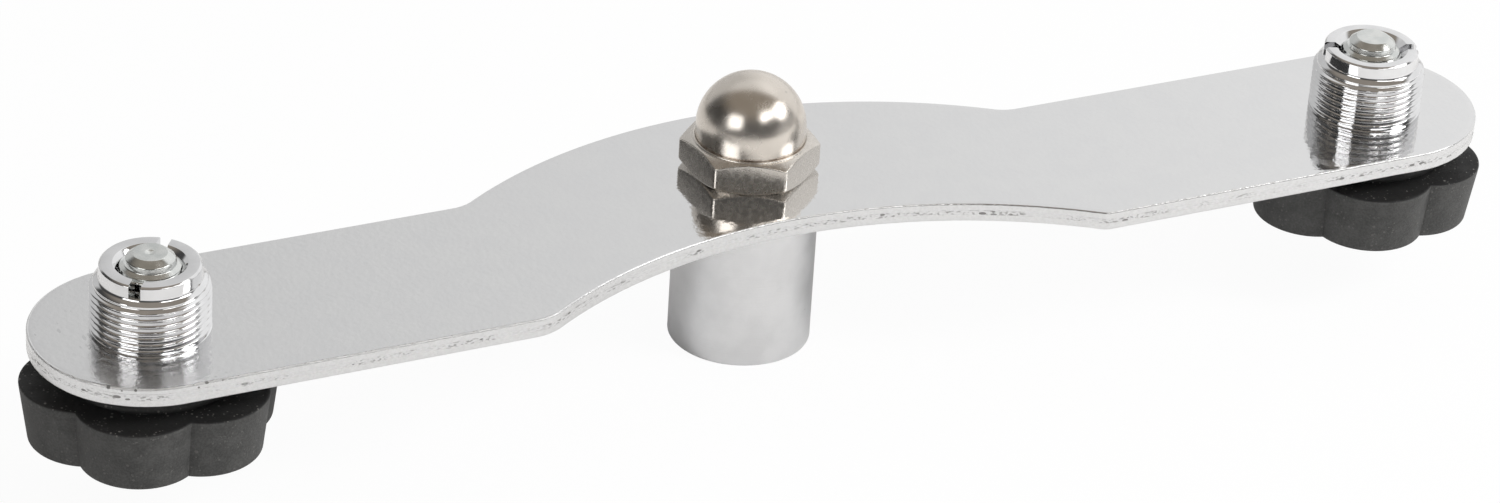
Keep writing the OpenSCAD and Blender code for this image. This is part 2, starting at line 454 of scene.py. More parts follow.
def grain_group():
    """Fine texture of a surface: a height for bumps, soft clouds, and a mask of small specks."""
    tree = bpy.data.node_groups.new("Surface grain", "ShaderNodeTree")
    group_socket(tree, "Vector", "NodeSocketVector")
    for name in ("Grain size", "Cloud size", "Speck size"):
        group_socket(tree, name, "NodeSocketFloat", value=MM)
    group_socket(tree, "Speck share", "NodeSocketFloat", value=0.1)
    for name in ("Grain", "Clouds", "Specks"):
        group_socket(tree, name, "NodeSocketFloat", "OUTPUT")
    given = node(tree, "NodeGroupInput").outputs

    def scale(size):
        return maths(tree, "DIVIDE", 1.0, given[size])

    sockets = {"Vector": given["Vector"], "Scale": scale("Grain size"), "Detail": 4.0}
    fine = node(tree, "ShaderNodeTexNoise", sockets).outputs[0]
    sockets = {"Vector": given["Vector"], "Scale": scale("Cloud size"), "Detail": 5.0}
    clouds = remap(tree, node(tree, "ShaderNodeTexNoise", sockets).outputs[0], 0.35, 0.65)
    sockets = {"Vector": given["Vector"], "Scale": scale("Speck size")}
    cells = node(tree, "ShaderNodeTexVoronoi", sockets).outputs
    lot = node(tree, "ShaderNodeSeparateColor", {0: cells["Color"]}).outputs
    near = maths(tree, "LESS_THAN", cells["Distance"], times(tree, lot[0], 0.34))
    chosen = maths(tree, "LESS_THAN", lot[1], given["Speck share"])
    specks = times(tree, near, chosen)
    node(tree, "NodeGroupOutput", {0: fine, 1: clouds, 2: specks})
    return tree


GRAIN = grain_group()
THREAD = thread_tree()


def grain(tree, vector, grain_size=1.0, cloud_size=1.0, speck_size=1.0, speck_share=0.0):
    """Places the surface grain group, as its outputs. Sizes are in millimetres."""
    made = node(tree, "ShaderNodeGroup", node_tree=GRAIN)
    tree.links.new(vector, made.inputs["Vector"])
    values = {"Grain size": grain_size, "Cloud size": cloud_size, "Speck size": speck_size}
    for name, value in values.items():
        made.inputs[name].default_value = value * MM
    made.inputs["Speck share"].default_value = speck_share
    return made.outputs


def coated(tree, shader, colour, roughness):
    """Feeds a colour and a roughness to the shader."""
    tree.links.new(colour, shader.inputs["Base Color"])
    tree.links.new(roughness, shader.inputs["Roughness"])


def bumped(tree, shader, height, strength, distance):
    """Feeds a height to the shader's normal."""
    sockets = {"Height": height, "Strength": strength, "Distance": distance}
    tree.links.new(node(tree, "ShaderNodeBump", sockets).outputs[0], shader.inputs["Normal"])


def squashed(tree, place, x, y, z):
    """Coordinates stretched by those factors, so that a pattern on them is squashed."""
    return vector_maths(tree, "MULTIPLY", place, (x, y, z))


SATIN_DARK = (0.77, 0.77, 0.775, 1)
SATIN_LIGHT = (0.85, 0.85, 0.855, 1)
SATIN_PIT = (0.4, 0.4, 0.4, 1)


def satin_turned_metal():
    made, tree, shader, place = new_material("satin_turned_metal")
    rings = squashed(tree, place, 0.03, 0.03, 1.0)
    marks = grain(tree, rings, grain_size=0.14)
    look = grain(tree, place, grain_size=0.35, cloud_size=6.0, speck_size=0.7, speck_share=0.01)
    shade = blend_colour(tree, look["Clouds"], SATIN_DARK, SATIN_LIGHT)
    shade = blend_colour(tree, times(tree, look["Specks"], 0.4), shade, SATIN_PIT)
    coated(tree, shader, shade, spread(tree, look["Clouds"], 0.28, 0.38))
    height = plus(tree, marks["Grain"], times(tree, look["Grain"], 0.25))
    bumped(tree, shader, height, 1.0, 0.04 * MM)
    return made


low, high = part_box("stand_adapter")
ADAPTER_RADIUS = high.x
STUD_HOLE = 5.05 * MM
socket_size = frame["record"]["mounts"][0]["dims"]
SOCKET_RADIUS = socket_size["r_mm"] * MM
SOCKET_END = socket_size["length_mm"] * MM
MOUTH_CHAMFER = 0.5 * MM
THREAD_RELIEF = 2.0 * MM
adapter_outline = rounded([
    (SOCKET_RADIUS + MOUTH_CHAMFER, low.z, 0.1 * MM),
    (ADAPTER_RADIUS, low.z, 0.22 * MM),
    (ADAPTER_RADIUS, high.z, 0.3 * MM),
    (STUD_HOLE, high.z),
    (STUD_HOLE, SOCKET_END),
    (SOCKET_RADIUS, SOCKET_END),
])
thread_bottom, thread_top = low.z + MOUTH_CHAMFER, SOCKET_END - THREAD_RELIEF
adapter_outline += threaded_wall(SOCKET_RADIUS, thread_top, thread_bottom, MICROPHONE_PITCH)
socket_thread = (SOCKET_RADIUS, SOCKET_RADIUS, thread_bottom, thread_top, 0.3 * MM, 0.5 * MM)
adapter = turned("turned_stand_adapter", adapter_outline, STAND_AXIS, threads=[socket_thread])
# A negative depth cuts outwards, into the wall round the socket
grow(adapter, THREAD, Axis=STAND_AXIS, Pitch=MICROPHONE_PITCH, Depth=-MICROPHONE_THREAD_DEPTH,
     Finish=satin_turned_metal())
put_in_place(adapter, "stand_fitting", "stand_adapter")

# ---------------------------------------------------------------- Centre stud
# A headless M10 screw of dark steel joins the adapter, the bar and the cap nut. Its lower end,
# with a hexagon socket for a key, is to be seen up the adapter's bore.

STUD_PITCH = 1.5 * MM
STUD_THREAD_DEPTH = 0.75 * MM
STUD_POINT = 0.8 * MM
KEY_FLATS = 5 * MM
KEY_DEPTH = 4 * MM
KEY_CONE = 1 * MM
KEY_MOUTH = 0.2 * MM
STUD_SEGMENTS = 144
STUD_DARK = (0.2, 0.2, 0.205, 1)
STUD_LIGHT = (0.34, 0.335, 0.33, 1)


def hexagon_radius(angle, flats, corner_round=0.0):
    """Distance from the axis to a hexagon's side. Its corners are at 0 and every 60 degrees."""
    across = flats / 2
    from_flat = angle % (math.pi / 3) - math.pi / 6
    if abs(across * math.tan(from_flat)) <= (across - corner_round) * math.tan(math.pi / 6):
        return across / math.cos(from_flat)
    centre = (across - corner_round) / math.cos(math.pi / 6)
    from_corner = math.pi / 6 - abs(from_flat)
    rest = corner_round ** 2 - (centre * math.sin(from_corner)) ** 2
    return centre * math.cos(from_corner) + math.sqrt(max(rest, 0.0))


def dark_stud_steel():
    made, tree, shader, place = new_material("dark_stud_steel")
    look = grain(tree, place, grain_size=0.3, cloud_size=4.0)
    shade = blend_colour(tree, look["Clouds"], STUD_DARK, STUD_LIGHT)
    coated(tree, shader, shade, spread(tree, look["Clouds"], 0.28, 0.45))
    bumped(tree, shader, look["Grain"], 0.3, 0.02 * MM)
    return made


low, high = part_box("centre_stud")
stud_low, stud_high, stud_radius = low.z, high.z, high.x


def stud_outline(angle):
    key = hexagon_radius(angle, KEY_FLATS)
    ring = [(0, stud_low + KEY_DEPTH + KEY_CONE), (key, stud_low + KEY_DEPTH)]
    ring += [(key, stud_low + 1.5 * KEY_MOUTH), (key + KEY_MOUTH, stud_low)]
    ring += [(stud_radius - STUD_POINT, stud_low)]
    ring += threaded_wall(stud_radius, thread_bottom, thread_top, STUD_PITCH)
    return ring + [(stud_radius - STUD_POINT, stud_high), (0, stud_high)]


thread_bottom, thread_top = stud_low + STUD_POINT, stud_high - STUD_POINT
stud_thread = (stud_radius, stud_radius, thread_bottom, thread_top, 0.3 * MM, 0.3 * MM)
stud = turned("threaded_centre_stud", stud_outline, STAND_AXIS, STUD_SEGMENTS, [stud_thread], closed=False)
grow(stud, THREAD, Axis=STAND_AXIS, Pitch=STUD_PITCH, Depth=STUD_THREAD_DEPTH, Finish=dark_stud_steel())
put_in_place(stud, "stand_fitting", "centre_stud")

# ---------------------------------------------------------------- Bar
# Flat steel, blanked to a bowed outline and bright chrome plated. The blanking rolls the top edge
# over, and tears the wall a little in a band half way up, between smoother edges.

BOW_RADIUS = 72.5 * MM
CORNER_ROUNDS = {"left front": 2.4 * MM, "right front": 0.8 * MM, "back": 1.8 * MM}
END_STEPS = 96
ARC_SEGMENTS = 120
HOLE_STEPS = 64
HOLE_EDGE = 0.15 * MM
STUD_CLEARANCE_HOLE = 5.4 * MM
BOLT_CLEARANCE_HOLE = 4.4 * MM
ROLL = 0.24 * MM
ROLL_RUN = 1.3
ROLL_STEPS = 8
WALL_ROWS = 5
FOOT_ROUND = 0.14 * MM
FOOT_BREAK = 0.04 * MM
FLAT_RIM = 1.1 * MM
CORNER_STEPS = 8
# Inner points of the two level faces, so that their triangles come out even
GRID_STEP = 6 * MM
GRID_SHIFT = 1 * MM
GRID_ACROSS = range(-17, 18)
GRID_ALONG = range(-4, 3)
SAME_POINT = 1e-7
TRIANGLES_INSIDE = 2

low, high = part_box("bar")
bar_low, bar_top = low.z, high.z
THICKNESS = bar_top - bar_low
half_width = high.y
arm_y = low.y + half_width
arm_end = high.x - half_width
low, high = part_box("right_sleeve")
sleeve_x = (low.x + high.x) / 2


def bar_outline():
    """The bar's outline, anticlockwise from above."""
    outer, inner = half_width - BOW_RADIUS, -half_width - BOW_RADIUS
    rise = arm_y + half_width - outer
    turn = math.asin(rise / BOW_RADIUS)
    corner = BOW_RADIUS * math.cos(turn)
    points = []

    def arc(centre, radius, start, end, steps):
        for k in range(steps + 1):
            a = start + (end - start) * k / steps
            points.append((centre[0] + radius * math.cos(a), centre[1] + radius * math.sin(a)))

    def soften(at, before, after):
        """Rounds a corner between the two points where its round starts and ends."""
        for k in range(CORNER_STEPS + 1):
            t = k / CORNER_STEPS
            points.append(tuple((1 - t) ** 2 * before + 2 * t * (1 - t) * at + t * t * after))

    def bow(centre_y, corner_y, sizes):
        """One edge of the bow. sizes maps each end, right 1 or left -1, to its corner's round."""
        ends = []
        for sign, size in sizes.items():
            skip = size / BOW_RADIUS
            at = Vector((sign * corner, corner_y))
            on_arm = at + Vector((sign * size, 0))
            a = turn + skip if sign > 0 else math.pi - turn - skip
            on_arc = Vector((BOW_RADIUS * math.cos(a), centre_y + BOW_RADIUS * math.sin(a)))
            ends.append((at, on_arm, on_arc, a))
        first, last = ends
        soften(first[0], first[1], first[2])
        arc((0, centre_y), BOW_RADIUS, first[3], last[3], ARC_SEGMENTS)
        soften(last[0], last[2], last[1])

    quarter = math.pi / 2
    arc((arm_end, arm_y), half_width, -quarter, quarter, END_STEPS)
    back = CORNER_ROUNDS["back"]
    bow(outer, arm_y + half_width, {1: back, -1: back})
    arc((-arm_end, arm_y), half_width, quarter, 3 * quarter, END_STEPS)
    bow(inner, arm_y - half_width, {-1: CORNER_ROUNDS["left front"], 1: CORNER_ROUNDS["right front"]})
    kept = []
    for p in points:
        if not kept or (Vector(p) - kept[-1]).length > TOUCH:
            kept.append(Vector(p))
    return kept


def bar_profile():
    """(inset, height) rows from the lower face, up the wall and over the rolled edge."""
    rows = [(FLAT_RIM, bar_low), (FOOT_ROUND, bar_low)]
    rows += [(FOOT_BREAK, bar_low + FOOT_BREAK), (0, bar_low + FOOT_ROUND)]
    rows += [(0, bar_low + (THICKNESS - ROLL) * k / WALL_ROWS) for k in range(1, WALL_ROWS)]
    for k in range(ROLL_STEPS + 1):
        a = math.pi / 2 * k / ROLL_STEPS
        rows.append((ROLL * ROLL_RUN * (1 - math.cos(a)), bar_top - ROLL * (1 - math.sin(a))))
    return rows + [(FLAT_RIM, bar_top)]


def fill_between(shape, rings):
    """Fills a level face inside the first ring and outside the others, with even triangles."""
    corners = [vertex for ring in rings for vertex in ring]
    edges, start = [], 0
    for ring in rings:
        edges += [(start + i, start + (i + 1) % len(ring)) for i in range(len(ring))]
        start += len(ring)
    height = corners[0].co.z
    flat = [vertex.co.xy for vertex in corners]
    for x in GRID_ACROSS:
        flat += [Vector((x * GRID_STEP, y * GRID_STEP + GRID_SHIFT)) for y in GRID_ALONG]
    found = delaunay_2d_cdt(flat, edges, [], TRIANGLES_INSIDE, SAME_POINT)
    points, faces, sources = found[0], found[2], found[3]
    placed = []
    for point, source in zip(points, sources):
        known = [k for k in source if k < len(corners)]
        placed.append(corners[known[0]] if known else None)
    for face in faces:
        centre = sum((points[k] for k in face), Vector((0, 0))) / len(face)
        if any((centre - ring_middle(ring)).length < ring_size(ring) for ring in rings[1:]):
            continue
        for k in face:
            if placed[k] is None:
                placed[k] = shape.verts.new((points[k].x, points[k].y, height))
        shape.faces.new([placed[k] for k in face])


def ring_middle(ring):
    return sum((vertex.co.xy for vertex in ring), Vector((0, 0))) / len(ring)


def ring_size(ring):
    return (ring[0].co.xy - ring_middle(ring)).length


def kept_shape(name, shape):
    """An object from a shape that was built face by face."""
    data = bpy.data.meshes.new(name)
    shape.to_mesh(data)
    shape.free()
    return stood(name, data)


def blanked_bar():
    outline = bar_outline()
    count = len(outline)
    ways = []
    for i, here in enumerate(outline):
        run = (outline[(i + 1) % count] - outline[i - 1]).normalized()
        ways.append(Vector((run.y, -run.x)))
    shape = bmesh.new()

    def loop(points, height):
        return [shape.verts.new((p[0], p[1], height)) for p in points]

    def wall(lower, upper):
        for i in range(len(lower)):
            k = (i + 1) % len(lower)
            shape.faces.new((lower[i], lower[k], upper[k], upper[i]))

    loops = [loop([p - w * inset for p, w in zip(outline, ways)], z) for inset, z in bar_profile()]
    for lower, upper in zip(loops, loops[1:]):
        wall(lower, upper)
    rims = [[loops[0]], [loops[-1]]]
    holes = [(0, 0, STUD_CLEARANCE_HOLE)] + [(s * sleeve_x, arm_y, BOLT_CLEARANCE_HOLE) for s in (-1, 1)]
    for x, y, radius in holes:
        rows = [(radius + HOLE_EDGE, bar_low), (radius, bar_low + HOLE_EDGE),
                (radius, bar_top - HOLE_EDGE), (radius + HOLE_EDGE, bar_top)]
        turns = even_angles(HOLE_STEPS)
        edges = [loop([(x + r * math.cos(a), y + r * math.sin(a)) for a in turns], z) for r, z in rows]
        for lower, upper in zip(edges, edges[1:]):
            wall(upper, lower)
        rims[0].append(edges[0])
        rims[1].append(edges[-1])
    for rim in rims:
        fill_between(shape, rim)
    bmesh.ops.recalc_face_normals(shape, faces=shape.faces)
    return kept_shape("blanked_bar", shape)


def between(tree, value, low, high, soft):
    """1 between two values and 0 outside, with soft ends."""
    up = remap(tree, value, low - soft, low + soft)
    down = remap(tree, value, high - soft, high + soft, 1.0, 0.0)
    return times(tree, up, down)


def near_to(tree, place, point, inner, outer):
    """1 within the inner distance of a point, fading to 0 at the outer one."""
    far = vector_maths(tree, "DISTANCE", place, point, result="Value")
    return remap(tree, far, inner, outer, 1.0, 0.0)


def up_the_wall(share):
    return bar_low + share * THICKNESS


FRONT_EDGE = arm_y - half_width
# Places on the bar, each with how far it is marked fully and where that has faded out
WORST_TEARS = Vector((33 * MM, FRONT_EDGE + 2 * MM, bar_top)), 6 * MM, 12 * MM
BURRED_CORNER = Vector((-arm_end - 4 * MM, FRONT_EDGE, bar_top)), 5 * MM, 13 * MM
DRIED_STREAKS = Vector((-arm_end - 11 * MM, arm_y + 2 * MM, bar_top)), 2 * MM, 8 * MM
DULL_ROLL_SPAN = (-20 * MM, -50 * MM)
CHROME_LOW = (0.80, 0.80, 0.803, 1)
CHROME_HIGH = (0.812, 0.812, 0.812, 1)
MOTTLED_CHROME = (0.75, 0.75, 0.75, 1)
STREAK_GREY = (0.45, 0.45, 0.46, 1)
TORN_STEEL = (0.16, 0.155, 0.15, 1)


def bar_chrome():
    made, tree, shader, place = new_material("bar_chrome")
    split = parts(tree, place)
    height = split[2]
    wall = between(tree, height, up_the_wall(0.03), up_the_wall(0.98), 0.01 * MM)
    torn = between(tree, height, up_the_wall(0.36), up_the_wall(0.62), 0.15 * MM)
    rim = between(tree, height, up_the_wall(0.7), up_the_wall(0.998), 0.02 * MM)
    roll = between(tree, height, bar_top - ROLL, bar_top - 0.03 * ROLL, 0.02 * MM)
    look = grain(tree, place, grain_size=0.5, cloud_size=4.0)
    flow = squashed(tree, place, 0.55, 0.55, 1.3)
    tears = grain(tree, flow, grain_size=0.33, cloud_size=5.0, speck_size=0.9, speck_share=1.0)
    # The punch tore the wall most just inside the front corner on the right
    flow = squashed(tree, place, 0.7, 0.7, 1.1)
    shreds = grain(tree, flow, cloud_size=1.8, speck_size=0.8, speck_share=1.0)
    shred = times(tree, shreds["Specks"], near_to(tree, place, *WORST_TEARS), shreds["Clouds"])
    dashes = remap(tree, tears["Grain"], 0.52, 0.62, 0.0, 0.75)
    dark = maths(tree, "MAXIMUM", tears["Specks"], dashes)
    dark = times(tree, dark, remap(tree, tears["Clouds"], 0.1, 0.6))
    dark = times(tree, maths(tree, "MAXIMUM", dark, shred), torn)
    burrs = grain(tree, place, grain_size=0.35, speck_size=0.8, speck_share=0.8)
    burred = times(tree, near_to(tree, place, *BURRED_CORNER), rim)
    burr = times(tree, burrs["Specks"], burred)
    # Faint dried streaks lie on the top face beside the left sleeve
    flow = squashed(tree, place, 1.6, 0.6, 1.0)
    streaks = grain(tree, flow, speck_size=1.3, speck_share=0.6)
    stain = times(tree, streaks["Specks"], near_to(tree, place, *DRIED_STREAKS), 0.3)
    mottle = times(tree, grain(tree, place, cloud_size=0.4)["Clouds"], wall)
    shade = blend_colour(tree, look["Clouds"], CHROME_LOW, CHROME_HIGH)
    shade = blend_colour(tree, stain, shade, STREAK_GREY)
    shade = blend_colour(tree, mottle, shade, MOTTLED_CHROME)
    shade = blend_colour(tree, times(tree, maths(tree, "MAXIMUM", dark, burr), 0.85), shade, TORN_STEEL)
    # The rolled edge was polished less towards the left end, and glints there only in places
    leftward = remap(tree, split[0], *DULL_ROLL_SPAN)
    dents = grain(tree, place, grain_size=0.8, cloud_size=1.6)
    dull = times(tree, spread(tree, dents["Clouds"], 0.15, 0.45), leftward, roll)
    smooth = spread(tree, look["Clouds"], 0.04, 0.05)
    rough = plus(tree, smooth, times(tree, wall, 0.14), times(tree, torn, 0.1), dull)
    coated(tree, shader, shade, rough)
    on_face = times(tree, look["Grain"], 0.01)
    on_wall = times(tree, tears["Grain"], wall, 2.2)
    on_roll = times(tree, dents["Grain"], roll, spread(tree, leftward, 4.5, 9.0))
    on_burr = times(tree, burrs["Grain"], burred, 3.0)
    bumped(tree, shader, plus(tree, on_face, on_wall, on_roll, on_burr), 0.5, 0.03 * MM)
    return made


bar = blanked_bar()
bar.data.materials.append(bar_chrome())
put_in_place(bar, "bar", "bar")

# ---------------------------------------------------------------- Cap nut
# A two-piece cap nut, nickel plated: a low hexagon, tumbled to a soft grain with its corners
# turned off at both faces, and a polished pressed dome that is let into its top with a seam.

NUT_FLATS = 17 * MM
NUT_CORNER_TURN = math.radians(36)
NUT_CORNER_ROUND = 0.6 * MM
NUT_FACE_RADIUS = 8.3 * MM
NUT_BORE = 5.05 * MM
LIP_RADIUS = 8.0 * MM
LIP_HEIGHT = 0.22 * MM
DOME_SKIRT = 1.65 * MM
DOME_WALL = 1.0 * MM
DOME_ROWS = 44
DOME_SEGMENTS = 160
DOME_SEAT = 0.3 * MM
DOME_EDGE = 0.1 * MM
NUT_CHAMFER = math.radians(30)
NUT_SOFT = 0.1 * MM
SEAM_STAIN_HEIGHT = 0.45 * MM
SEAM_BROWN = (0.2, 0.1, 0.05, 1)
NICKEL_PIT = (0.35, 0.33, 0.3, 1)
TUMBLED_NICKEL = (0.66, 0.62, 0.57, 1), (0.71, 0.67, 0.62, 1)
POLISHED_NICKEL = (0.715, 0.66, 0.595, 1), (0.755, 0.70, 0.635, 1)

low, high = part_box("cap_nut_hex")
hex_low, hex_top = low.z, high.z
low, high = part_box("cap_nut_dome")
dome_low, dome_radius = low.z, high.x


def corner_angles(turn):
    """Angles round a hexagon, close together where its corners are rounded."""
    near = [0, 0.4, 0.8, 1.2, 1.6, 2.0, 2.6, 3.5]
    steps = near + [5 + 50 * k / 20 for k in range(21)] + [60 - step for step in near[:0:-1]]
    return [turn + math.radians(60 * side + step) for side in range(6) for step in steps]


def nut_outline(angle):
    side = hexagon_radius(angle - NUT_CORNER_TURN, NUT_FLATS, NUT_CORNER_ROUND)
    drop = (side - NUT_FACE_RADIUS) * math.tan(NUT_CHAMFER)
    return rounded([
        (NUT_BORE, hex_low),
        (NUT_FACE_RADIUS, hex_low, NUT_SOFT),
        (side, hex_low + drop, 2 * NUT_SOFT),
        (side, hex_top - drop, 2 * NUT_SOFT),
        (NUT_FACE_RADIUS, hex_top, NUT_SOFT),
        (LIP_RADIUS + NUT_SOFT, hex_top + 0.1 * NUT_SOFT, NUT_SOFT),
        (LIP_RADIUS, hex_top + LIP_HEIGHT, NUT_SOFT),
        (dome_radius + 0.3 * NUT_SOFT, hex_top + LIP_HEIGHT, 0.4 * NUT_SOFT),
        (dome_radius + 0.2 * NUT_SOFT, hex_top - DOME_SEAT),
        (NUT_BORE, hex_top - DOME_SEAT),
    ])


def nickel(name, clouds, cloud_size, roughness, grain_size, bump, seam=False):
    made, tree, shader, place = new_material(name)
    look = grain(tree, place, grain_size, cloud_size, speck_size=0.6, speck_share=0.09)
    shade = blend_colour(tree, look["Clouds"], *clouds)
    if seam:
        height = parts(tree, place)[2]
        foot = dome_low + LIP_HEIGHT
        near_seam = remap(tree, height, foot, foot + SEAM_STAIN_HEIGHT, 1.0, 0.0)
        stain = times(tree, near_seam, grain(tree, place, cloud_size=1.1)["Clouds"], 0.55)
        shade = blend_colour(tree, stain, shade, SEAM_BROWN)
        shade = blend_colour(tree, times(tree, look["Specks"], 0.35), shade, NICKEL_PIT)
    coated(tree, shader, shade, spread(tree, look["Clouds"], *roughness))
    bumped(tree, shader, look["Grain"], bump, 0.05 * MM)
    return made


hexagon = turned("tumbled_nut_hexagon", nut_outline, STAND_AXIS, corner_angles(NUT_CORNER_TURN))
tumbled = nickel("tumbled_nickel", TUMBLED_NICKEL, cloud_size=0.7, roughness=(0.22, 0.28),
                 grain_size=0.17, bump=0.3)
hexagon.data.materials.append(tumbled)
put_in_place(hexagon, "stand_fitting", "cap_nut_hex", 25)


def dome_arc(radius, centre, start, end):
    turns = [start + (end - start) * k / DOME_ROWS for k in range(DOME_ROWS + 1)]
    return [(radius * math.cos(a), centre + radius * math.sin(a)) for a in turns]


quarter_turn = math.pi / 2
skirt_top = dome_low + DOME_SKIRT
dome_outline = dome_arc(dome_radius - DOME_WALL, skirt_top, quarter_turn, 0)
dome_outline += [(dome_radius - DOME_WALL, dome_low), (dome_radius - DOME_EDGE, dome_low)]
dome_outline += [(dome_radius, dome_low + DOME_EDGE), (dome_radius, dome_low + 0.6 * DOME_SKIRT)]
dome_outline += dome_arc(dome_radius, skirt_top, 0, quarter_turn)
dome = turned("polished_nut_dome", dome_outline, STAND_AXIS, DOME_SEGMENTS, closed=False)
polished = nickel("polished_nickel", POLISHED_NICKEL, cloud_size=2.6, roughness=(0.23, 0.28),
                  grain_size=0.6, bump=0.07, seam=True)
dome.data.materials.append(polished)
put_in_place(dome, "stand_fitting", "cap_nut_dome")

# ---------------------------------------------------------------- Threaded sleeves
# Two sleeves carry the microphone clips. Each is turned from brass with a fine outer thread, a
# plain neck and a screwdriver slot across its top, then bright chrome plated.

SLEEVE_BORE = 4.05 * MM
SLEEVE_MOUTHS = {"left": 4.85 * MM, "right": 5.15 * MM}
SLEEVE_MOUTH_DEPTH = 0.8 * MM
SLEEVE_NECK_RADIUS = 6.65 * MM
SLEEVE_TAPER_HEIGHT = 1.1 * MM
SLEEVE_NECK_HEIGHT = 2.0 * MM
SLEEVE_THREAD_DEPTH = 0.55 * MM
SLOT_WIDTH = 1.6 * MM
SLOT_DEPTH = 1.9 * MM
SLOT_TURNS = {"left": 53, "right": -22}
CUTTER_LENGTH = 30 * MM
CUTTER_RISE = 1 * MM
SLEEVE_SEGMENTS = 224
SLEEVE_FOOT = 0.2 * MM
TAPER_ROWS = 12
# How far up, and how far in, the thread goes on over the taper
TAPER_CUT_RISE = 0.55
TAPER_CUT_RUN = 0.45
RIM_CHAMFER = 0.25 * MM
RIM_SOFT = 0.06 * MM
SLEEVE_DARK = (0.78, 0.78, 0.785, 1)
SLEEVE_LIGHT = (0.84, 0.84, 0.845, 1)


def standing_axis(low, high):
    """The upright axis through the middle of a box."""
    return Vector(((low.x + high.x) / 2, (low.y + high.y) / 2, 0))


def slot_cutter(axis, width, turn, bottom, top):
    """A long block that cuts a slot right across a piece."""
    shape = bmesh.new()
    bmesh.ops.create_cube(shape, size=1.0)
    size = Matrix.Diagonal((CUTTER_LENGTH, width, top - bottom, 1))
    spin = Matrix.Rotation(math.radians(turn), 4, "Z")
    centre = Matrix.Translation((axis.x, axis.y, (bottom + top) / 2))
    bmesh.ops.transform(shape, matrix=centre @ spin @ size, verts=shape.verts)
    return kept_shape("slot_cutter", shape)


def cut_away(made, cutter):
    """Takes a cutter's shape out of a piece and throws the cutter away."""
    step = made.modifiers.new("cut", "BOOLEAN")
    step.operation, step.solver, step.object = "DIFFERENCE", "EXACT", cutter
    settle(made)
    bpy.data.objects.remove(cutter)


def sleeve_chrome():
    made, tree, shader, place = new_material("sleeve_chrome")
    look = grain(tree, place, grain_size=0.3, cloud_size=3.0)
    shade = blend_colour(tree, look["Clouds"], SLEEVE_DARK, SLEEVE_LIGHT)
    coated(tree, shader, shade, spread(tree, look["Clouds"], 0.05, 0.1))
    bumped(tree, shader, look["Grain"], 0.02, 0.03 * MM)
    return made


chrome = sleeve_chrome()
for side, slot_turn in SLOT_TURNS.items():
    low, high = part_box(side + "_sleeve")
    axis = standing_axis(low, high)
    radius = (high.x - low.x) / 2
    neck_low = high.z - SLEEVE_NECK_HEIGHT
    taper_low = neck_low - SLEEVE_TAPER_HEIGHT
    # The thread runs out over the lower part of the taper
    run = TAPER_CUT_RUN * (radius - SLEEVE_NECK_RADIUS)
    rise = TAPER_CUT_RISE * SLEEVE_TAPER_HEIGHT
    outline = [(SLEEVE_BORE, low.z), (radius - SLEEVE_FOOT, low.z)]
    outline += threaded_wall(radius, low.z + SLEEVE_FOOT, taper_low, MICROPHONE_PITCH)
    for k in range(1, TAPER_ROWS + 1):
        outline.append((radius - run * k / TAPER_ROWS, taper_low + rise * k / TAPER_ROWS))
    outline += rounded([
        (radius - run, taper_low + rise),
        (SLEEVE_NECK_RADIUS, neck_low, 0.35 * MM),
        (SLEEVE_NECK_RADIUS, high.z - RIM_CHAMFER, RIM_SOFT),
        (SLEEVE_NECK_RADIUS - RIM_CHAMFER, high.z, RIM_SOFT),
        (SLEEVE_MOUTHS[side], high.z, 0.05 * MM),
        (SLEEVE_BORE, high.z - SLEEVE_MOUTH_DEPTH, 0.1 * MM),
    ])[1:]
    thread = (radius - run, radius, low.z + SLEEVE_FOOT, taper_low + rise, 0.2 * MM, 0.6 * MM)
    sleeve = turned(side + "_threaded_sleeve", outline, axis, SLEEVE_SEGMENTS, [thread])
    grow(sleeve, THREAD, Axis=axis, Pitch=MICROPHONE_PITCH, Depth=SLEEVE_THREAD_DEPTH, Finish=chrome)
    slot_bottom = high.z - SLOT_DEPTH
    cut_away(sleeve, slot_cutter(axis, SLOT_WIDTH, slot_turn, slot_bottom, high.z + CUTTER_RISE))
    put_in_place(sleeve, side + "_sleeve", side + "_sleeve")

# ---------------------------------------------------------------- Washers
# A thin smooth disc of black plastic lies between each knob and the chrome, so that the knob
# doesn't scratch it when it is turned tight.

WASHER_HOLE = 4.4 * MM
WASHER_SOFT = 0.2 * MM
WASHER_SEGMENTS = 128
WASHER_BLACK = (0.014, 0.014, 0.015, 1)
WASHER_WORN = (0.022, 0.022, 0.022, 1)
WASHER_DUST = (0.2, 0.2, 0.2, 1)


def black_washer_plastic():
    made, tree, shader, place = new_material("black_washer_plastic", 0.0)
    look = grain(tree, place, grain_size=0.5, cloud_size=5.0, speck_size=0.7, speck_share=0.04)
    shade = blend_colour(tree, look["Clouds"], WASHER_BLACK, WASHER_WORN)
    shade = blend_colour(tree, times(tree, look["Specks"], 0.2), shade, WASHER_DUST)
    coated(tree, shader, shade, spread(tree, look["Clouds"], 0.35, 0.5))
    bumped(tree, shader, look["Grain"], 0.2, 0.02 * MM)
    return made


washer_plastic = black_washer_plastic()
for side in SLOT_TURNS:
    low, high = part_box(side + "_washer")
    radius = (high.x - low.x) / 2
    corners = (WASHER_HOLE, low.z), (radius, low.z), (radius, high.z), (WASHER_HOLE, high.z)
    outline = rounded([(*corner, WASHER_SOFT) for corner in corners])
    washer = turned(side + "_washer_disc", outline, standing_axis(low, high), WASHER_SEGMENTS)
    washer.data.materials.append(washer_plastic)
    put_in_place(washer, side + "_washer", side + "_washer", 60)

# ---------------------------------------------------------------- Knobs
# Six-lobed knobs, moulded in matte dark plastic over the bolts' heads. The lobes meet in sharp
# creases, the sides draw in a little towards the bottom, and a round boss stands on top.

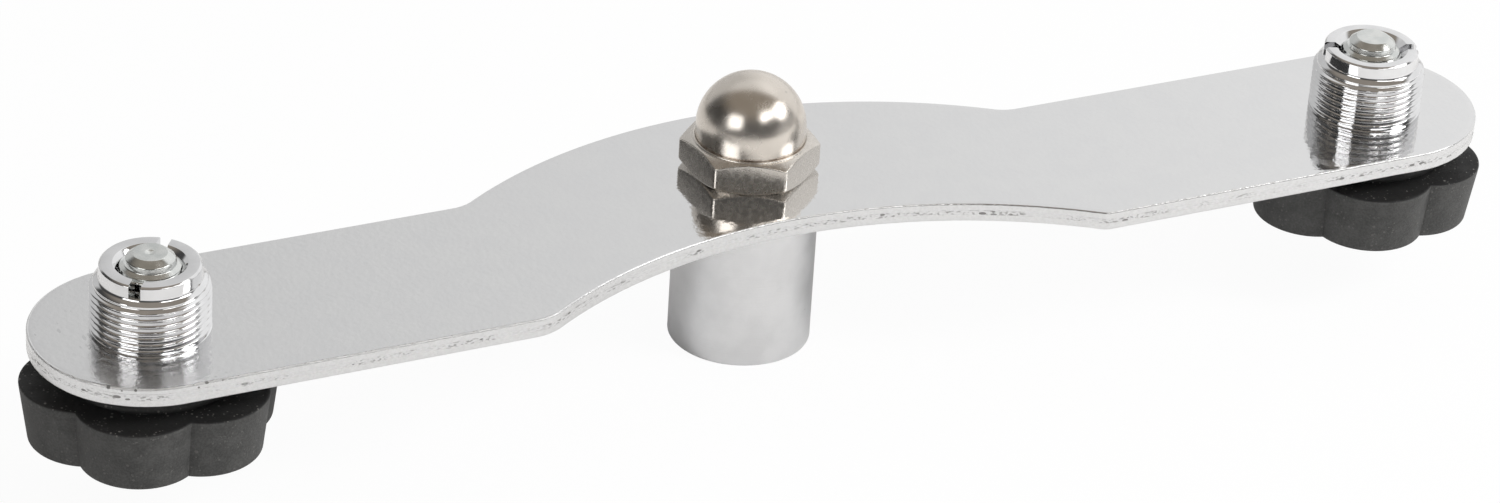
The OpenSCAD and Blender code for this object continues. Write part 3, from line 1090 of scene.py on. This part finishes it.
LOBES = 6
KNOB_RADIUS = 17.6 * MM
LOBE_RADIUS = 8.5 * MM
BOSS_RADIUS = 12.0 * MM
BOSS_HEIGHT = 2.0 * MM
BOSS_FOOT = 0.4 * MM
BOSS_SOFT = 0.3 * MM
BOLT_RADIUS = 4.0 * MM
HEAD_HEIGHT = 5.3 * MM
KNOB_TURNS = {"left": 1, "right": 12}
DRAFT = 0.065
KNOB_EDGE = 0.45 * MM
KNOB_EDGE_STEPS = 6
KNOB_SEGMENTS = 264
KNOB_DARK = (0.042, 0.042, 0.041, 1)
KNOB_LIGHT = (0.082, 0.082, 0.08, 1)
# Painted shade: the near-black colour given to the knobs' upward faces
KNOB_TOP_PAINTED_SHADE = (0.012, 0.012, 0.012, 1)
KNOB_DUST = (0.3, 0.29, 0.27, 1)
KNOB_SPECULAR = 0.35


def lobe_tree():
    """Draws the round wall of a turned piece in to touching lobes, where its points are marked."""
    tree, given, out, far, turn, height = shape_tree(
        "Lobed outline", Lobes=float(LOBES), Lobe_radius=LOBE_RADIUS, Outer_radius=2 * LOBE_RADIUS,
        First_turn=0.0
    )
    within = times(tree, maths(tree, "SUBTRACT", turn, given["First turn"]), given["Lobes"])
    step = maths(tree, "SUBTRACT", within, maths(tree, "ROUND", within))
    angle = times(tree, maths(tree, "DIVIDE", step, given["Lobes"]), 2 * math.pi)
    centre = maths(tree, "SUBTRACT", given["Outer radius"], given["Lobe radius"])
    aside = times(tree, centre, maths(tree, "SINE", angle))
    ahead = times(tree, centre, maths(tree, "COSINE", angle))
    lobe = given["Lobe radius"]
    rest = maths(tree, "SUBTRACT", times(tree, lobe, lobe), times(tree, aside, aside))
    reach = plus(tree, ahead, maths(tree, "SQRT", rest))
    share = maths(tree, "SUBTRACT", maths(tree, "DIVIDE", reach, given["Outer radius"]), 1.0)
    marked = point_mark(tree, "on_lobes")
    close_tree(tree, given, along(tree, out, times(tree, far, share, marked)))
    return tree


def knob_plastic():
    made, tree, shader, place = new_material("knob_plastic", 0.0)
    look = grain(tree, place, grain_size=0.3, cloud_size=2.6, speck_size=0.75, speck_share=0.16)
    dusty = grain(tree, place, cloud_size=3.4, speck_size=0.5, speck_share=0.7)
    fine = remap(tree, look["Grain"], 0.38, 0.62)
    patchy = plus(tree, times(tree, look["Clouds"], 0.6), times(tree, fine, 0.4))
    shade = blend_colour(tree, patchy, KNOB_DARK, KNOB_LIGHT)
    up = parts(tree, node(tree, "ShaderNodeNewGeometry").outputs["Normal"])[2]
    # Painted shade: what faces up is darkened towards near black, standing in for the shadow the bar casts
    # over the knobs' tops
    shade = blend_colour(tree, remap(tree, up, 0.2, 0.8), shade, KNOB_TOP_PAINTED_SHADE)
    # Dust lies thicker on what faces up
    patches = times(tree, dusty["Clouds"], dusty["Specks"])
    dust = maths(tree, "MAXIMUM", patches, look["Specks"])
    dust = times(tree, dust, remap(tree, up, 0.0, 0.7, 0.18, 0.4))
    shade = blend_colour(tree, dust, shade, KNOB_DUST)
    coated(tree, shader, shade, spread(tree, look["Clouds"], 0.55, 0.68))
    shader.inputs["Specular IOR Level"].default_value = KNOB_SPECULAR
    height = plus(tree, look["Grain"], times(tree, dusty["Specks"], 0.4))
    bumped(tree, shader, height, 0.5, 0.06 * MM)
    return made


LOBED = lobe_tree()
plastic = knob_plastic()
for side, knob_turn in KNOB_TURNS.items():
    low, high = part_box(side + "_knob")
    bolt_low, bolt_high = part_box(side + "_knob_bolt")
    axis = standing_axis(bolt_low, bolt_high)
    lobe_top = high.z - BOSS_HEIGHT
    head_top = bolt_low.z + HEAD_HEIGHT
    first = math.radians(knob_turn)
    outline = rounded([
        (0, low.z),
        (KNOB_RADIUS * (1 - DRAFT), low.z, KNOB_EDGE),
        (KNOB_RADIUS, lobe_top - 0.1 * MM, KNOB_EDGE),
        (BOSS_RADIUS + BOSS_FOOT, lobe_top, BOSS_SOFT),
        (BOSS_RADIUS, lobe_top + BOSS_FOOT, BOSS_SOFT),
        (BOSS_RADIUS, high.z, BOSS_SOFT),
        (BOLT_RADIUS, high.z),
        (BOLT_RADIUS, head_top),
        (0, head_top),
    ], KNOB_EDGE_STEPS)
    angles = even_angles(KNOB_SEGMENTS, first + math.pi / LOBES)
    knob = turned(side + "_lobed_knob", outline, axis, angles, closed=False)
    marks = []
    for vertex in knob.data.vertices:
        far = (vertex.co.xy - axis.xy).length
        marks.append(1.0 if far > BOSS_RADIUS + BOSS_FOOT + 0.01 * MM else 0.0)
    mark_points(knob, "on_lobes", marks)
    grow(knob, LOBED, **{"Axis": axis, "Lobe radius": LOBE_RADIUS, "Outer radius": KNOB_RADIUS,
                         "First turn": first / (2 * math.pi), "Finish": plastic})
    put_in_place(knob, side + "_knob", side + "_knob", 30)

# ---------------------------------------------------------------- Knob bolts
# M8 bolts of zinc plated steel, moulded into the knobs by their heads. Their chamfered ends,
# one with the pip of the lathe's centre left in it, stand out of the sleeves.

BOLT_PITCH = 1.25 * MM
BOLT_THREAD_DEPTH = 0.62 * MM
BOLT_POINT = 1.9 * MM
BOLT_SOFT = 0.1 * MM
BOLT_END_RADIUS = 2.3 * MM
BOLT_SEGMENTS = 126
HEAD_FLATS = 13 * MM
HEAD_EDGE = 0.3 * MM
PIPS = {"left": 0.3 * MM, "right": 0.05 * MM}
ZINC_DARK = (0.68, 0.7, 0.685, 1)
ZINC_LIGHT = (0.78, 0.79, 0.77, 1)


def bright_zinc():
    made, tree, shader, place = new_material("bright_zinc")
    look = grain(tree, place, grain_size=0.25, cloud_size=1.6)
    shade = blend_colour(tree, look["Clouds"], ZINC_DARK, ZINC_LIGHT)
    coated(tree, shader, shade, spread(tree, look["Clouds"], 0.14, 0.24))
    bumped(tree, shader, look["Grain"], 0.15, 0.03 * MM)
    return made


zinc = bright_zinc()
for side, pip in PIPS.items():
    low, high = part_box(side + "_knob_bolt")
    axis = standing_axis(low, high)
    head_top = low.z + HEAD_HEIGHT
    thread_end = high.z - BOLT_POINT

    def bolt_outline(angle):
        head = hexagon_radius(angle, HEAD_FLATS)
        ring = [(0, low.z), (head - HEAD_EDGE, low.z), (head, low.z + HEAD_EDGE), (head, head_top)]
        ring += threaded_wall(BOLT_RADIUS, head_top, thread_end, BOLT_PITCH)
        ring += rounded([
            (BOLT_RADIUS - 0.15 * MM, thread_end + 0.12 * MM, BOLT_SOFT),
            (BOLT_RADIUS - 0.6 * MM, thread_end + 0.4 * MM, BOLT_SOFT),
            (BOLT_END_RADIUS + 0.95 * MM, high.z - 0.75 * MM, BOLT_SOFT),
            (BOLT_END_RADIUS, high.z, BOLT_SOFT),
            (0.7 * MM, high.z - 0.02 * MM, BOLT_SOFT),
            (0.15 * MM, high.z - pip),
        ])
        return ring + [(0, high.z - pip)]

    thread = (BOLT_RADIUS, BOLT_RADIUS, head_top, thread_end, 0.5 * MM, 0.4 * MM)
    bolt = turned(side + "_clamping_bolt", bolt_outline, axis, BOLT_SEGMENTS, [thread], closed=False)
    grow(bolt, THREAD, Axis=axis, Pitch=BOLT_PITCH, Depth=BOLT_THREAD_DEPTH, Finish=zinc)
    put_in_place(bolt, side + "_knob", side + "_knob_bolt")
